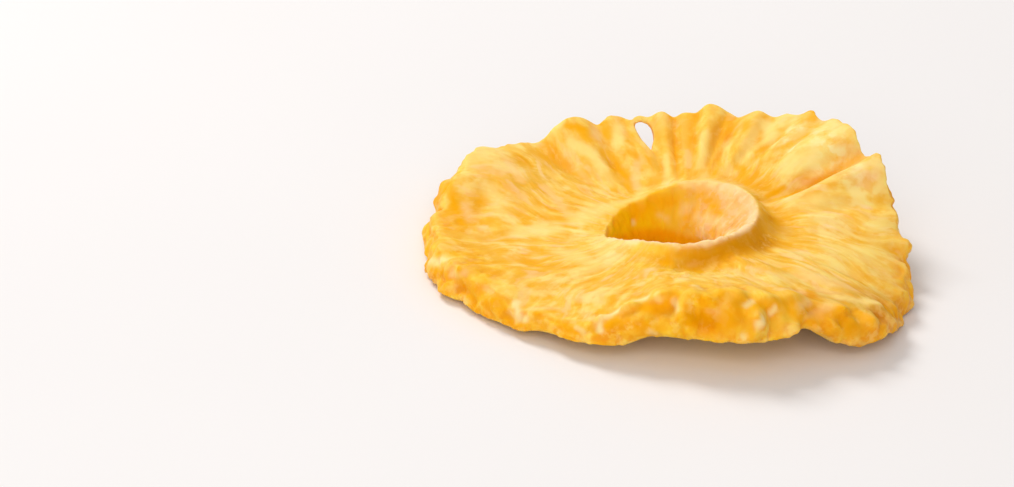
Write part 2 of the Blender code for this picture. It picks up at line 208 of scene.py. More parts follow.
# Strokes of colour along the fibres, round the hole and in the band, kind by kind: the name
# and colour of the kind, then for each stroke its two ends as (angle, radius, height), its
# half-width and how strong it is, up to 1. Angles are in degrees, and lengths in mm.
MARKS = (
    ("gold_marks", (0.87, 0.45, 0.05), (
        ((135, 35.8, 8.0), (137, 31.5, 7.5), 0.7, 0.6),
        ((137, 31.5, 7.5), (141, 27.5, 7.1), 0.7, 0.6),
        ((144, 32.1, 7.7), (148, 28.4, 7.4), 0.8, 0.75),
        ((148, 28.4, 7.4), (153, 25.3, 6.9), 0.6, 0.6),
        ((161, 28.8, 6.5), (166, 26.7, 5.6), 0.9, 0.65),
        ((133, 31.0, 6.5), (140, 21.6, 6.9), 0.7, 0.5),
        ((160, 21.2, 6.2), (161, 18.7, 5.8), 0.8, 0.5),
        ((163, 25.0, 5.9), (167, 22.6, 5.2), 0.6, 0.5),
        ((153, 33.8, 7.8), (159, 30.6, 7.0), 0.6, 0.4),
        ((187, 37.2, 4.9), (186, 29.6, 4.3), 1.2, 0.6),
        ((195, 32.1, 4.5), (205, 31.4, 4.7), 1, 0.55),
        ((218, 33.0, 5.5), (224, 32.6, 5.5), 0.7, 0.5),
        ((224, 32.6, 5.5), (228, 30.2, 5.4), 0.6, 0.5),
        ((187, 25.1, 4.3), (196, 24.5, 4.9), 0.7, 0.6),
        ((100, 27.6, 8.7), (102, 21.6, 8.1), 0.8, 0.75),
        ((102, 21.6, 8.1), (108, 14.8, 7.9), 0.7, 0.65),
        ((98, 34.6, 10.8), (96, 28.0, 9.8), 1.5, 0.5),
        ((90, 34.3, 11.4), (90, 29.7, 10.3), 0.6, 0.85),
        ((90, 29.7, 10.3), (88, 23.4, 9.4), 0.6, 0.8),
        ((88, 28.2, 10.2), (85, 17.1, 9.0), 0.7, 0.6),
        ((82, 32.6, 12.6), (80, 26.5, 10.8), 1, 0.6),
        ((80, 26.5, 10.8), (77, 20.9, 9.7), 0.9, 0.6),
        ((9, 21.2, 9.0), (0, 21.3, 8.4), 0.8, 0.5),
        ((359, 15.4, 8.6), (359, 19.0, 8.5), 1, 0.5),
        ((125, 28.3, 7.9), (127, 23.3, 6.9), 0.6, 0.4),
        ((138, 25.7, 7.0), (143, 21.6, 6.8), 0.7, 0.5),
        ((216, 21.4, 5.4), (230, 20.9, 5.8), 0.8, 0.4),
        ((250, 34.6, 6.9), (253, 36.0, 7.5), 0.6, 0.6),
        ((121, 23.4, 7.5), (120, 20.1, 6.7), 0.6, 0.3),
        ((84, 24.4, 11.0), (84, 19.6, 9.4), 0.6, 0.4),
        ((96, 24.3, 9.1), (95, 18.7, 8.4), 0.7, 0.5),
        ((105, 27.5, 9.1), (106, 22.6, 8.0), 0.6, 0.45),
        ((73, 28.6, 12.1), (68, 22.8, 11.1), 0.6, 0.4),
        ((351, 16.3, 8.3), (353, 20.1, 8.3), 1.1, 0.5),
        ((193, 34.8, 4.7), (196, 32.5, 4.6), 1, 0.5),
        ((181, 19.5, 4.3), (189, 15.7, 4.9), 0.9, 0.35),
        ((240, 27.1, 6.5), (247, 24.5, 7.1), 0.8, 0.4),
        ((208, 25.4, 4.6), (218, 24.3, 5.2), 0.7, 0.4),
        ((240, 19.2, 6.8), (250, 22.1, 7.6), 0.7, 0.5),
        ((303, 18.5, 9.3), (307, 25.6, 9.9), 0.6, 0.45),
        ((315, 17.5, 8.8), (319, 24.8, 9.0), 0.6, 0.4),
        ((283, 26.2, 10.6), (291, 29.7, 11.0), 0.8, 0.4),
        ((4, 25.6, 8.3), (4, 29.9, 7.9), 1, 0.4),
        ((346, 22.9, 8.2), (345, 28.1, 7.2), 0.8, 0.3),
    )),
    ("peach_marks", (0.99, 0.6, 0.24), (
        ((116, 34.5, 10.1), (117, 32.1, 9.5), 0.8, 0.7),
        ((146, 35.5, 8.5), (153, 29.7, 7.4), 0.7, 0.6),
        ((151, 25.9, 7.2), (160, 21.0, 6.2), 0.7, 0.55),
        ((128, 32.2, 7.9), (131, 23.1, 6.4), 0.6, 0.4),
        ((170, 35.9, 5.3), (176, 34.3, 4.2), 0.8, 0.7),
        ((108, 25.0, 8.1), (112, 20.9, 7.1), 0.6, 0.6),
        ((112, 20.9, 7.1), (115, 17.8, 6.6), 0.6, 0.7),
        ((275, 15.1, 7.5), (278, 14.9, 7.8), 0.45, 0.5),
        ((253, 19.6, 7.8), (255, 18.9, 7.9), 0.8, 0.9),
        ((233, 37.9, 4.7), (239, 36.0, 5.2), 0.6, 0.5),
        ((207, 40.4, 3.9), (212, 40.2, 5.7), 0.5, 0.7),
        ((317, 26.8, 9.0), (325, 32.8, 7.9), 1.5, 0.5),
        ((298, 32.5, 10.9), (307, 31.2, 9.0), 0.7, 0.7),
        ((90, 12.4, 10.1), (67, 11.6, 11.1), 1, 0.5),
        ((240, 32.3, 6.0), (247, 32.5, 6.7), 0.7, 0.5),
        ((155, 36.9, 8.1), (153, 33.8, 7.8), 1, 0.4),
        ((89, 26.5, 9.9), (88, 21.7, 9.1), 0.5, 0.6),
        ((242, 30.1, 6.7), (246, 31.0, 7.0), 0.6, 0.4),
        ((276, 37.6, 10.1), (279, 37.3, 9.9), 0.4, 0.5),
        ((300, 36.7, 9.8), (304, 35.7, 9.5), 0.7, 0.5),
        ((110, 10.2, 5.0), (104, 9.8, 4.6), 0.45, 0.5),
        ((88, 9.6, 6.4), (84, 9.6, 6.9), 0.8, 0.6),
        ((44, 9.7, 9.2), (32, 9.3, 9.5), 1, 0.6),
        ((19, 9.7, 9.9), (17, 10.2, 10.5), 0.9, 0.6),
        ((306, 37.3, 8.3), (308, 37.6, 9.3), 0.8, 0.5),
        ((301, 37.6, 8.0), (305, 36.8, 8.3), 0.6, 0.4),
        ((245, 35.8, 5.9), (251, 39.5, 6.2), 0.6, 0.4),
        ((223, 34.7, 5.4), (227, 35.0, 5.3), 0.6, 0.4),
        ((219, 39.5, 5.1), (221, 39.5, 5.0), 0.5, 0.4),
        ((301, 21.3, 9.5), (307, 28.4, 9.7), 0.7, 0.4),
        ((292, 19.1, 8.9), (297, 26.7, 10.1), 0.8, 0.4),
    )),
    ("pale_marks", (1, 0.73, 0.24), (
        ((125, 33.1, 9.0), (122, 28.3, 8.6), 1.1, 0.85),
        ((122, 28.3, 8.6), (123, 24.2, 7.6), 0.9, 0.7),
        ((123, 24.2, 7.6), (125, 20.6, 6.7), 0.8, 0.5),
        ((181, 26.0, 4.3), (176, 20.9, 4.4), 1.6, 0.8),
        ((172, 21.8, 4.7), (176, 19.6, 4.5), 1, 0.5),
        ((165, 17.4, 5.4), (147, 15.1, 6.1), 1.5, 0.7),
        ((148, 16.5, 6.1), (123, 12.6, 7.6), 1, 0.6),
        ((160, 33.8, 6.8), (170, 30.0, 5.1), 1.2, 0.55),
        ((202, 20.5, 4.7), (224, 19.0, 5.9), 1.4, 0.65),
        ((221, 29.5, 5.5), (226, 27.9, 5.7), 0.7, 0.5),
        ((109, 34.2, 10.7), (111, 30.8, 9.3), 0.9, 0.75),
        ((97, 25.3, 9.1), (101, 15.2, 8.4), 0.6, 0.65),
        ((84, 29.2, 12.3), (82, 20.6, 9.8), 0.8, 0.65),
        ((76, 29.6, 11.0), (68, 19.0, 10.1), 0.7, 0.5),
        ((69, 31.8, 13.2), (65, 22.9, 11.0), 0.9, 0.6),
        ((45, 24.2, 12.6), (42, 28.4, 14.0), 1.9, 0.8),
        ((67, 35.0, 13.4), (64, 32.0, 13.1), 1.3, 0.85),
        ((49, 36.4, 16.7), (44, 34.8, 16.4), 1.6, 0.7),
        ((23, 20.2, 10.3), (19, 27.3, 10.3), 1.8, 0.5),
        ((31, 15.7, 9.2), (27, 19.8, 10.6), 0.7, 0.4),
        ((283, 36.4, 13.3), (321, 24.3, 9.0), 1.2, 0.25),
        ((337, 24.1, 7.7), (339, 29.5, 6.3), 1.4, 0.35),
        ((226, 24.3, 5.8), (231, 17.3, 6.3), 1, 0.6),
        ((210, 15.0, 6.3), (229, 17.7, 6.2), 1.6, 0.5),
        ((114, 17.0, 6.7), (128, 12.3, 7.4), 0.7, 0.5),
        ((154, 39.3, 8.9), (145, 37.3, 8.7), 1.6, 0.6),
        ((350, 25.2, 7.9), (352, 30.4, 6.8), 2, 0.35),
        ((316, 34.5, 8.3), (325, 38.5, 7.3), 0.7, 0.75),
        ((334, 17.4, 8.4), (340, 23.6, 7.8), 1, 0.4),
        ((79, 18.0, 9.3), (64, 11.6, 11.5), 1, 0.4),
        ((63, 34.3, 14.0), (61, 35.4, 14.6), 0.8, 0.5),
    )),
    ("yellow_marks", (1, 0.6, 0.05), (
        ((293, 37.8, 7.1), (296, 37.6, 8.6), 1.3, 0.8),
        ((281, 38.4, 6.7), (283, 39.3, 7.8), 0.7, 0.7),
        ((285, 41.0, 7.9), (289, 39.9, 7.6), 0.8, 0.7),
        ((273, 37.5, 6.0), (279, 37.8, 5.7), 0.7, 0.6),
        ((264, 37.6, 6.8), (269, 38.3, 6.9), 0.8, 0.5),
        ((214, 39.8, 5.7), (219, 37.5, 5.7), 0.8, 0.5),
        ((240, 13.4, 8.7), (260, 13.3, 9.3), 0.9, 0.6),
        ((232, 39.9, 2.6), (239, 39.6, 3.6), 0.8, 0.4),
    )),
    ("amber_marks", (0.95, 0.41, 0), (
        ((164, 39.7, 6.9), (169, 38.2, 6.2), 0.7, 0.95),
        ((169, 38.2, 6.2), (174, 36.4, 4.8), 0.6, 0.95),
        ((174, 36.4, 4.8), (179, 35.6, 4.3), 0.45, 0.8),
        ((123, 36.0, 10.8), (120, 34.4, 10.6), 0.8, 1),
        ((112, 35.8, 10.5), (113, 32.9, 9.4), 0.7, 0.8),
        ((121, 32.3, 9.9), (117, 31.4, 9.3), 0.6, 0.45),
        ((114, 28.0, 7.7), (114, 25.8, 7.0), 0.6, 0.85),
        ((114, 25.8, 7.0), (115, 22.8, 6.8), 0.6, 0.8),
        ((117, 20.4, 6.6), (118, 18.0, 6.4), 0.5, 0.5),
        ((197, 25.0, 4.9), (199, 24.2, 4.8), 0.9, 0.95),
        ((210, 41.1, 6.0), (206, 36.5, 5.1), 0.6, 0.95),
        ((201, 41.6, 3.1), (205, 41.6, 3.7), 0.5, 0.7),
        ((216, 38.8, 5.9), (218, 38.8, 5.8), 0.5, 0.6),
        ((224, 40.3, 4.4), (226, 40.0, 3.7), 0.6, 0.7),
        ((235, 38.9, 4.8), (238, 37.1, 5.1), 0.45, 0.7),
        ((241, 39.2, 4.5), (246, 39.8, 4.1), 0.6, 0.85),
        ((260, 36.5, 8.8), (266, 35.7, 9.9), 0.9, 1),
        ((263, 36.4, 8.6), (265, 35.6, 8.9), 0.9, 1),
        ((253, 39.6, 6.5), (255, 38.6, 7.0), 0.8, 0.95),
        ((266, 35.6, 11.3), (268, 35.0, 11.7), 0.8, 0.7),
        ((271, 31.9, 11.8), (271, 37.9, 10.4), 0.6, 0.85),
        ((275, 37.3, 11.5), (279, 36.6, 12.3), 1.1, 0.75),
        ((281, 38.0, 8.5), (284, 37.0, 11.8), 1.8, 0.85),
        ((272, 38.5, 8.5), (276, 36.9, 8.6), 1.2, 0.9),
        ((286, 38.8, 11.3), (298, 36.0, 10.4), 1.1, 0.85),
        ((296, 36.2, 10.3), (298, 37.4, 9.0), 0.6, 0.9),
        ((38, 17.4, 9.7), (39, 21.1, 10.5), 0.5, 0.9),
        ((64, 21.7, 10.8), (54, 17.2, 10.1), 0.7, 0.6),
        ((62, 23.2, 11.2), (62, 24.7, 11.5), 0.8, 0.6),
        ((73, 33.5, 13.5), (72, 31.2, 13.2), 0.7, 0.8),
        ((107, 32.5, 10.1), (106, 29.6, 9.5), 0.6, 0.6),
        ((93, 28.9, 9.1), (93, 26.4, 8.7), 0.5, 0.6),
        ((75, 20.1, 9.8), (73, 16.7, 9.8), 0.7, 0.55),
        ((259, 15.4, 7.5), (262, 14.8, 7.9), 0.7, 0.85),
        ((262, 14.1, 8.5), (270, 13.5, 9.0), 0.7, 0.6),
        ((251, 19.4, 7.5), (254, 23.1, 8.1), 0.45, 0.6),
        ((265, 25.4, 9.7), (266, 28.1, 10.3), 0.5, 0.55),
        ((12, 27.4, 9.4), (10, 28.6, 9.0), 0.8, 0.6),
        ((42, 33.1, 15.6), (40, 34.2, 15.6), 0.8, 0.6),
        ((119, 24.1, 7.4), (115, 25.9, 6.8), 0.5, 0.5),
        ((56, 8.8, 8.1), (45, 8.4, 7.7), 1, 1),
        ((83, 8.7, 5.5), (77, 9.0, 6.2), 0.7, 0.8),
        ((131, 11.8, 6.3), (115, 11.5, 6.8), 1.3, 0.7),
        ((115, 11.5, 6.8), (99, 11.1, 7.4), 1.2, 0.7),
        ((154, 11.9, 5.8), (136, 11.8, 5.8), 1.3, 0.4),
        ((165, 39.8, 6.6), (169, 38.5, 6.3), 0.9, 0.9),
        ((282, 36.6, 12.3), (285, 37.0, 11.8), 1, 0.6),
        ((275, 37.0, 6.5), (279, 37.3, 6.5), 0.7, 0.5),
        ((261, 38.7, 7.2), (265, 37.9, 6.7), 0.8, 0.5),
        ((285, 41.0, 8.6), (286, 41.3, 7.6), 0.6, 0.5),
        ((299, 38.1, 8.8), (303, 37.6, 7.1), 0.8, 0.6),
        ((307, 38.3, 7.7), (312, 39.6, 6.7), 1.2, 0.7),
        ((310, 38.9, 9.2), (316, 38.3, 7.2), 1, 0.7),
        ((212, 40.5, 3.7), (216, 40.3, 3.8), 0.8, 0.6),
        ((228, 40.3, 2.0), (234, 39.8, 2.3), 0.7, 0.5),
        ((258, 38.0, 8.0), (260, 38.9, 7.6), 0.7, 0.6),
        ((316, 38.7, 7.2), (317, 40.9, 7.0), 1.1, 0.8),
        ((205, 31.5, 4.7), (202, 29.0, 4.3), 0.6, 0.35),
        ((245, 33.7, 6.2), (250, 35.9, 6.8), 0.5, 0.5),
        ((213, 40.4, 2.9), (217, 40.2, 2.9), 0.7, 0.6),
        ((220, 40.2, 3.8), (223, 40.6, 3.3), 0.6, 0.5),
        ((217, 40.9, 1.1), (220, 40.9, 1.5), 0.6, 0.5),
        ((233, 39.9, 2.4), (237, 39.6, 2.5), 0.6, 0.5),
        ((57, 26.7, 13.0), (55, 28.4, 13.4), 0.8, 0.5),
        ((56, 30.8, 14.1), (55, 32.8, 14.7), 0.7, 0.6),
    )),
    # Deep marks: painted shade round the collar below the lip, at radii 12 to 16 mm, and deep
    # amber spots in the band, at radii 37 to 41 mm.
    ("deep_amber_and_shade_marks", (0.7, 0.28, 0), (
        ((346, 12.3, 11.2), (8, 14.9, 8.9), 1, 0.6),
        ((272, 15.8, 7.3), (283, 15.6, 7.6), 1, 0.7),
        ((349, 12.3, 11.2), (331, 12.7, 10.6), 0.9, 0.8),
        ((331, 12.7, 10.6), (309, 13.4, 10.2), 1, 0.85),
        ((309, 13.4, 10.2), (286, 13.4, 9.6), 1, 0.8),
        ((286, 13.4, 9.6), (270, 13.6, 8.9), 0.9, 0.5),
        ((342, 12.9, 10.5), (313, 14.5, 9.4), 1.4, 0.85),
        ((313, 14.5, 9.4), (292, 14.6, 8.8), 1.4, 0.85),
        ((292, 14.6, 8.8), (275, 14.4, 8.1), 1.4, 0.75),
        ((272, 38.6, 9.6), (276, 36.5, 7.7), 0.9, 0.5),
        ((283, 37.9, 11.6), (283, 39.0, 9.7), 0.8, 0.5),
        ((309, 39.4, 7.2), (315, 40.7, 4.9), 0.9, 0.4),
        ((345, 12.7, 10.7), (2, 15.8, 8.6), 1.4, 0.6),
        ((277, 37.0, 8.7), (279, 36.9, 7.3), 0.6, 0.3),
    )),
    ("white_marks", (1, 0.77, 0.36), (
        ((198, 41.7, 3.5), (202, 40.7, 5.0), 0.7, 0.8),
        ((228, 38.7, 4.7), (231, 39.8, 3.3), 0.6, 0.85),
        ((231, 39.8, 3.3), (233, 39.6, 3.3), 0.5, 0.7),
        ((246, 39.4, 4.7), (248, 39.5, 4.5), 0.35, 0.6),
        ((251, 38.4, 7.1), (252, 39.7, 5.4), 0.5, 0.95),
        ((252, 38.3, 7.1), (261, 34.3, 10.0), 0.4, 0.8),
        ((268, 35.1, 10.3), (269, 37.2, 9.8), 0.45, 0.55),
        ((273, 31.7, 11.8), (274, 33.5, 12.0), 0.6, 0.5),
        ((285, 38.0, 11.3), (287, 36.9, 11.4), 0.45, 0.7),
        ((292, 37.2, 9.5), (293, 37.4, 10.3), 0.5, 0.75),
        ((287, 41.5, 9.8), (288, 40.4, 10.0), 0.65, 0.9),
        ((284, 40.2, 7.2), (284, 41.1, 7.2), 0.4, 0.6),
        ((263, 35.1, 11.5), (264, 35.9, 10.5), 0.5, 0.4),
        ((55, 11.3, 11.2), (43, 11.3, 11.7), 1, 0.6),
        ((27, 30.7, 13.6), (29, 32.4, 14.4), 0.8, 0.5),
        ((263, 37.9, 6.0), (264, 37.4, 5.6), 0.4, 0.5),
        ((59, 7.6, 6.5), (28, 7.3, 7.2), 0.9, 0.5),
        ((73, 8.4, 6.1), (57, 6.3, 5.2), 0.6, 0.45),
        ((326, 11.2, 11.4), (358, 11.3, 11.5), 0.9, 0.4),
        ((286, 12.3, 10.7), (293, 12.3, 11.1), 0.7, 1),
        ((293, 12.3, 11.1), (358, 7.3, 7.2), 0.7, 1),
        ((207, 12.9, 6.9), (212, 12.5, 7.4), 0.5, 0.8),
        ((229, 12.7, 8.5), (234, 12.7, 8.9), 0.6, 0.8),
        ((214, 41.2, 2.4), (215, 41.2, 1.9), 0.4, 0.4),
    )),
)
MARK_SPREAD = 1.25  # what every half-width is multiplied by
MARK_FLATNESS = 3  # above 2, a stroke is more even and ends more sharply
MARK_RAGGEDNESS = 0.6
MARK_GRAIN = 1.6 * MM
MARK_STRENGTH = 0.9

# The area where the fibres lean as they run out, as (angle, radius, length along the radius,
# width across it), in mm but for the angle, and their turn in radians for each mm out.
SWIRL = (151, 26, 9, 13)
SWIRL_TURN = 0.03
# The areas, given in the same way, where the valleys' painted shade and light are held
# back, and by how much.
CALMED_VALLEY_SHADE = (
    ((34, 31, 8, 6), 0.65),
    ((117, 29, 6, 3.5), 0.6),
    ((94, 30, 6, 2.5), 0.4),
)

# The flesh's material.
PALE_GOLD = (1, 0.72, 0.24)
DASH_SHARE = 0.7  # how far the open face's mottling runs with the fibres
SPECULAR = 0.03
SUBSURFACE_WEIGHT = 0.5
SUBSURFACE_RADIUS = (1, 0.75, 0.35)
SUBSURFACE_SCALE = 1.1 * MM
BUMP_STRENGTH = 0.4
BUMP_DEPTH = 0.22 * MM

# The floor, and the light from all round.
FLOOR_HALF = 3
FLOOR_ROUGHNESS = 0.7
FLOOR_SPECULAR = 0.2
WORLD_COLOUR = (1, 0.985, 0.98, 1)
WORLD_STRENGTH = 0.5


def polar(points):
    """The angle and radius of each point about the hole."""
    x = points[:, 0] - HOLE_AXIS.x
    y = points[:, 1] - HOLE_AXIS.y
    return np.arctan2(y, x), np.hypot(x, y)


def placed(angle, radius, height=0):
    """The point at an angle in degrees, and a radius and height in mm, about the hole."""
    turn = math.radians(angle)
    x = HOLE_AXIS.x + radius * MM * math.cos(turn)
    y = HOLE_AXIS.y + radius * MM * math.sin(turn)
    return np.array((x, y, height * MM))


def turned(angle, centre):
    """How far each angle is from a centre in degrees, the short way round."""
    return (angle - math.radians(centre) + math.pi) % math.tau - math.pi


def apart(angle, radius, centre, reach, length, width):
    """How far each point is from a place on the top, squared, as a share of its size."""
    along = (radius - reach * MM) / (length * MM)
    across = radius * turned(angle, centre) / (width * MM)
    return along**2 + across**2


def around(stations, angle):
    """The value at each angle on a closed line through evenly spaced stations."""
    count = len(stations)
    place = (angle / math.tau * count) % count
    return np.interp(place, range(count + 1), [*stations, stations[0]])


def eased(low, high, values):
    """0 at low, 1 at high, and an easy curve between."""
    t = np.clip((values - low) / (high - low), 0, 1)
    return t * t * (3 - 2 * t)


def noises(places):
    """The noise at each row of an array of places."""
    return np.array([noise.noise(Vector(place)) for place in places])


def cells(places):
    """About 1 within each cell and 0 at the edges between, at each row of places."""
    gaps = []
    for place in places:
        nearest, second = noise.voronoi(Vector(place))[0][:2]
        gaps.append(second - nearest)
    return eased(0, CELL_EDGE, np.array(gaps))


def spokes(angle, radius):
    """Places that follow the fibres, with no seam round the ring: a direction, and how far
    out in metres."""
    return np.stack([np.cos(angle), np.sin(angle), radius], axis=1)


def rounded(node):
    """The solid's surface as a mesh, with its triangles paired and rounded over twice."""
    form = bmesh.new()
    form.from_mesh(node.data)
    bmesh.ops.remove_doubles(form, verts=form.verts, dist=MERGE_DISTANCE)
    bmesh.ops.join_triangles(
        form,
        faces=form.faces,
        angle_face_threshold=math.radians(PAIRING_FACE_ANGLE),
        angle_shape_threshold=math.radians(PAIRING_SHAPE_ANGLE),
    )
    coarse = bpy.data.meshes.new("flesh_coarse")
    form.to_mesh(coarse)
    form.free()
    holder = bpy.data.objects.new("flesh_coarse", coarse)
    bpy.context.scene.collection.objects.link(holder)
    smoother = holder.modifiers.new("rounding", "SUBSURF")
    smoother.levels = ROUNDING_LEVELS
    smoother.render_levels = ROUNDING_LEVELS
    graph = bpy.context.evaluated_depsgraph_get()
    mesh = bpy.data.meshes.new_from_object(holder.evaluated_get(graph))
    bpy.data.objects.remove(holder)
    bpy.data.meshes.remove(coarse)
    mesh.name = "flesh"
    return mesh


def read(items, name, width):
    """A property of the mesh's points or edges as an array."""
    values = np.empty(len(items) * width, dtype=np.int64 if name == "vertices" else np.float32)
    items.foreach_get(name, values)
    return values.reshape(-1, width)


def averaged(values, edges, rounds):
    """The values, each blended with its neighbours' so many times."""
    count = len(values)
    ends = np.concatenate([edges[:, 0], edges[:, 1]])
    others = np.concatenate([edges[:, 1], edges[:, 0]])
    degree = np.bincount(ends, minlength=count)
    for _ in range(rounds):
        columns = [
            np.bincount(ends, weights=values[others, i], minlength=count) / degree
            for i in range(values.shape[1])
        ]
        values = 0.5 * values + 0.5 * np.stack(columns, axis=1)
    return values


def rim_radius(angle, radius):
    """How far the ring reaches at each point's angle."""
    bins = 180
    place = ((angle / math.tau) % 1 * bins).astype(int)
    furthest = np.zeros(bins)
    np.maximum.at(furthest, place, radius)
    furthest = (furthest + np.roll(furthest, 1) + np.roll(furthest, -1)) / 3
    return furthest[place]


def tinted_and_shaded(angle, radius):
    """The colour that each point's own is multiplied by, which in places paints shade."""
    tint_and_painted_shade = np.ones((len(angle), 3))
    for centre, reach, length, width, factor in TINTS_AND_PAINTED_SHADE:
        near = np.exp(-apart(angle, radius, centre, reach, length, width))[:, None]
        tint_and_painted_shade *= 1 + near * (np.array(factor) - 1)
    return tint_and_painted_shade


def patched(angle, radius, height):
    """The relief of the patches, and how amber, or pale below zero, each point is."""
    relief = np.zeros(len(angle))
    amber = np.zeros(len(angle))
    for centre, level, half_width, half_height, rise, strength in PATCHES:
        across = radius * turned(angle, centre) / (half_width * MM)
        above = (height - level * MM) / (half_height * MM)
        near = np.exp(-((across**2 + above**2) ** 1.5))
        relief += rise * MM * near
        amber += strength * near
    return relief, np.clip(amber, -1, 1)


def beside(points, start, end, width, flatness=2):
    """1 on a straight line, and 0 away from it. The width may be one for each point, and
    more flatness makes the line more even across, with sharper sides."""
    run = end - start
    share = np.clip((points - start) @ run / (run @ run), 0, 1)
    gap = np.linalg.norm(points - start - share[:, None] * run, axis=1)
    return np.exp(-((gap / width) ** flatness))


def torn(points):
    """1 on the torn edges, and 0 away from them."""
    lines = [
        beside(points, placed(*start), placed(*end), TORN_WIDTH) for start, end in TORN_EDGES
    ]
    return np.max(lines, axis=0)


def veined(points):
    """How strong the veins are at each point, as seen from above."""
    flat = points * (1, 1, 0)
    width = VEIN_WIDTH * (1 + VEIN_RAGGEDNESS * noises(flat / WRINKLE_SIZE))
    lines = [
        strength * beside(flat, placed(*start), placed(*end), width)
        for start, end, strength in VEINS
    ]
    return np.max(lines, axis=0)


def marked(points, marks, ragged):
    """How strong one kind of mark is at each point."""
    strength = np.zeros(len(points))
    for start, end, width, most in marks:
        half = MARK_SPREAD * width * MM * ragged
        near = beside(points, placed(*start), placed(*end), half, MARK_FLATNESS)
        strength = np.maximum(strength, most * near)
    return strength


def lip_strength(angle, radius, upward):
    """How pale and dry the hole's lip is at each point."""
    past = radius - around(LIP_RADIUS, angle) * MM
    width = np.where(past > 0, around(LIP_OUTSIDE, angle), around(LIP_INSIDE, angle)) * MM
    near = np.exp(-((past / width) ** 4))
    return near * eased(0, 0.5, upward) * around(LIP_PALENESS, angle)


def edge_relief(points, angle):
    """The relief of the band, and how much each point is in a pit or on a pit's edge."""
    wrinkle = noises(points / WRINKLE_SIZE)
    warp = np.stack([wrinkle, noises(points / WRINKLE_SIZE + 7), wrinkle * 0], axis=1)
    cell = cells(points / CELL_SIZE + CELL_WARP * warp)
    bias = PIT_BIAS * np.cos(turned(angle, PIT_ANGLE))
    pitted = eased(-PIT_SOFTNESS, PIT_SOFTNESS, noises(points / PIT_AREA + 3) + bias)
    relief = CELL_RELIEF * (cell - CELL_MIDDLE) * (1 - 2 * pitted)
    relief += LUMP_RELIEF * noises(points / LUMP_SIZE)
    return relief, pitted * cell, pitted * (1 - cell)


